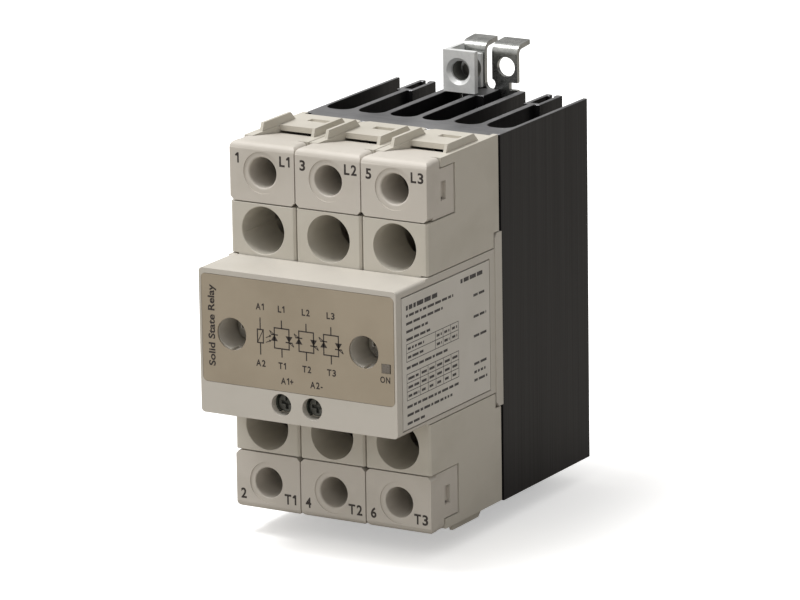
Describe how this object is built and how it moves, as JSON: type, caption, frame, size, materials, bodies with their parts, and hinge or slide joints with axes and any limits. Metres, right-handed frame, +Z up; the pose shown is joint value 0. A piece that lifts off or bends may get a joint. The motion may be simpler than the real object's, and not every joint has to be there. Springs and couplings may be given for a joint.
{
  "type": "solid state relay",
  "caption": "Solid state relay with finned black heatsink, removable terminal caps, control terminals in a front cover, an earth bracket and a sprung rail clip.",
  "frame": {"origin": "the centre of the face that the 35 mm rail rests against", "axes": "+X right seen from the front, +Y back towards the rail, +Z up, the line terminals at the top"},
  "size_m": [0.054, 0.0989, 0.1074],
  "materials": {
    "housing": "fine moulded grain, warm light grey",
    "cap": "fine moulded grain, warm light grey",
    "faceplate": "satin printed film, taupe",
    "label": "silver-grey printed sticker",
    "lamp": "clear moulded window, unlit",
    "heatsink": "black anodised extrusion with sawn ends",
    "zinc": "zinc plated",
    "copper": "bare copper",
    "board": "green solder mask",
    "ceramic": "white fired ceramic",
    "chip": "dark polished silicon",
    "terminal": "dark moulded plastic"
  },
  "bodies": {
    "root": {"housing_pole_1": "housing", "spreader_1": "copper", "substrate_1": "ceramic", "lead_line_1": "copper", "chip_line_1": "chip", "lead_load_1": "copper", "chip_load_1": "chip", "housing_pole_2": "housing", "spreader_2": "copper", "substrate_2": "ceramic", "lead_line_2": "copper", "chip_line_2": "chip", "lead_load_2": "copper", "chip_load_2": "chip", "housing_pole_3": "housing", "spreader_3": "copper", "substrate_3": "ceramic", "lead_line_3": "copper", "chip_line_3": "chip", "lead_load_3": "copper", "chip_load_3": "chip", "front_cover": "housing", "faceplate": "faceplate", "side_label": "label", "control_board": "board", "lamp": "lamp", "light_pipe": "lamp", "control_body": "terminal", "housing_screw_left": "zinc", "housing_screw_right": "zinc", "heatsink": "heatsink", "rail_clip": "zinc", "latch_spring": "zinc", "earth_bracket": "zinc", "bracket_rivet": "zinc", "clip_screw_upper": "zinc", "clip_screw_lower": "zinc"},
    "cap_line_1": {"cap_line_1": "cap"},
    "clamp_line_1": {"clamp_line_1": "zinc"},
    "screw_line_1": {"screw_line_1": "zinc"},
    "cap_line_2": {"cap_line_2": "cap"},
    "clamp_line_2": {"clamp_line_2": "zinc"},
    "screw_line_2": {"screw_line_2": "zinc"},
    "cap_line_3": {"cap_line_3": "cap"},
    "clamp_line_3": {"clamp_line_3": "zinc"},
    "screw_line_3": {"screw_line_3": "zinc"},
    "cap_load_1": {"cap_load_1": "cap"},
    "clamp_load_1": {"clamp_load_1": "zinc"},
    "screw_load_1": {"screw_load_1": "zinc"},
    "cap_load_2": {"cap_load_2": "cap"},
    "clamp_load_2": {"clamp_load_2": "zinc"},
    "screw_load_2": {"screw_load_2": "zinc"},
    "cap_load_3": {"cap_load_3": "cap"},
    "clamp_load_3": {"clamp_load_3": "zinc"},
    "screw_load_3": {"screw_load_3": "zinc"},
    "control_clamp_left": {"control_clamp_left": "zinc"},
    "control_screw_left": {"control_screw_left": "zinc"},
    "control_clamp_right": {"control_clamp_right": "zinc"},
    "control_screw_right": {"control_screw_right": "zinc"},
    "rail_latch": {"rail_latch": "zinc"}
  },
  "joints": [
    {"name": "cap_slide_line_1", "type": "slide", "parent": "root", "child": "cap_line_1", "axis": [0, -1, 0], "range_m": [0, 0.022]},
    {"name": "clamp_slide_line_1", "type": "slide", "parent": "root", "child": "clamp_line_1", "axis": [0, 1, 0], "range_m": [0, 0.0028]},
    {"name": "screw_turn_line_1", "type": "hinge", "parent": "clamp_line_1", "child": "screw_line_1", "pos_m": [-0.018, -0.06, 0.024], "axis": [0, 1, 0], "range_deg": [0, 1264]},
    {"name": "cap_slide_line_2", "type": "slide", "parent": "root", "child": "cap_line_2", "axis": [0, -1, 0], "range_m": [0, 0.022]},
    {"name": "clamp_slide_line_2", "type": "slide", "parent": "root", "child": "clamp_line_2", "axis": [0, 1, 0], "range_m": [0, 0.0028]},
    {"name": "screw_turn_line_2", "type": "hinge", "parent": "clamp_line_2", "child": "screw_line_2", "pos_m": [0, -0.06, 0.024], "axis": [0, 1, 0], "range_deg": [0, 1264]},
    {"name": "cap_slide_line_3", "type": "slide", "parent": "root", "child": "cap_line_3", "axis": [0, -1, 0], "range_m": [0, 0.022]},
    {"name": "clamp_slide_line_3", "type": "slide", "parent": "root", "child": "clamp_line_3", "axis": [0, 1, 0], "range_m": [0, 0.0028]},
    {"name": "screw_turn_line_3", "type": "hinge", "parent": "clamp_line_3", "child": "screw_line_3", "pos_m": [0.018, -0.06, 0.024], "axis": [0, 1, 0], "range_deg": [0, 1264]},
    {"name": "cap_slide_load_1", "type": "slide", "parent": "root", "child": "cap_load_1", "axis": [0, -1, 0], "range_m": [0, 0.022]},
    {"name": "clamp_slide_load_1", "type": "slide", "parent": "root", "child": "clamp_load_1", "axis": [0, 1, 0], "range_m": [0, 0.0028]},
    {"name": "screw_turn_load_1", "type": "hinge", "parent": "clamp_load_1", "child": "screw_load_1", "pos_m": [-0.018, -0.06, -0.024], "axis": [0, 1, 0], "range_deg": [0, 1264]},
    {"name": "cap_slide_load_2", "type": "slide", "parent": "root", "child": "cap_load_2", "axis": [0, -1, 0], "range_m": [0, 0.022]},
    {"name": "clamp_slide_load_2", "type": "slide", "parent": "root", "child": "clamp_load_2", "axis": [0, 1, 0], "range_m": [0, 0.0028]},
    {"name": "screw_turn_load_2", "type": "hinge", "parent": "clamp_load_2", "child": "screw_load_2", "pos_m": [0, -0.06, -0.024], "axis": [0, 1, 0], "range_deg": [0, 1264]},
    {"name": "cap_slide_load_3", "type": "slide", "parent": "root", "child": "cap_load_3", "axis": [0, -1, 0], "range_m": [0, 0.022]},
    {"name": "clamp_slide_load_3", "type": "slide", "parent": "root", "child": "clamp_load_3", "axis": [0, 1, 0], "range_m": [0, 0.0028]},
    {"name": "screw_turn_load_3", "type": "hinge", "parent": "clamp_load_3", "child": "screw_load_3", "pos_m": [0.018, -0.06, -0.024], "axis": [0, 1, 0], "range_deg": [0, 1264]},
    {"name": "control_clamp_slide_left", "type": "slide", "parent": "root", "child": "control_clamp_left", "axis": [0, 1, 0], "range_m": [0, 0.0015]},
    {"name": "control_screw_turn_left", "type": "hinge", "parent": "control_clamp_left", "child": "control_screw_left", "pos_m": [-0.0047, -0.088, -0.0133], "axis": [0, 1, 0], "range_deg": [0, 1084]},
    {"name": "control_clamp_slide_right", "type": "slide", "parent": "root", "child": "control_clamp_right", "axis": [0, 1, 0], "range_m": [0, 0.0015]},
    {"name": "control_screw_turn_right", "type": "hinge", "parent": "control_clamp_right", "child": "control_screw_right", "pos_m": [0.0037, -0.088, -0.0133], "axis": [0, 1, 0], "range_deg": [0, 1084]},
    {"name": "latch_slide", "type": "slide", "parent": "root", "child": "rail_latch", "axis": [0, 0, -1], "range_m": [0, 0.004], "stiffness_N_per_m": 1500, "springref_m": -0.002, "deforming": ["latch_spring"]}
  ],
  "couplings": [
    {"joint": "screw_turn_line_1", "follows": "clamp_slide_line_1", "rad_per_m": 7854},
    {"joint": "screw_turn_line_2", "follows": "clamp_slide_line_2", "rad_per_m": 7854},
    {"joint": "screw_turn_line_3", "follows": "clamp_slide_line_3", "rad_per_m": 7854},
    {"joint": "screw_turn_load_1", "follows": "clamp_slide_load_1", "rad_per_m": 7854},
    {"joint": "screw_turn_load_2", "follows": "clamp_slide_load_2", "rad_per_m": 7854},
    {"joint": "screw_turn_load_3", "follows": "clamp_slide_load_3", "rad_per_m": 7854},
    {"joint": "control_screw_turn_left", "follows": "control_clamp_slide_left", "rad_per_m": 12566},
    {"joint": "control_screw_turn_right", "follows": "control_clamp_slide_right", "rad_per_m": 12566}
  ]
}
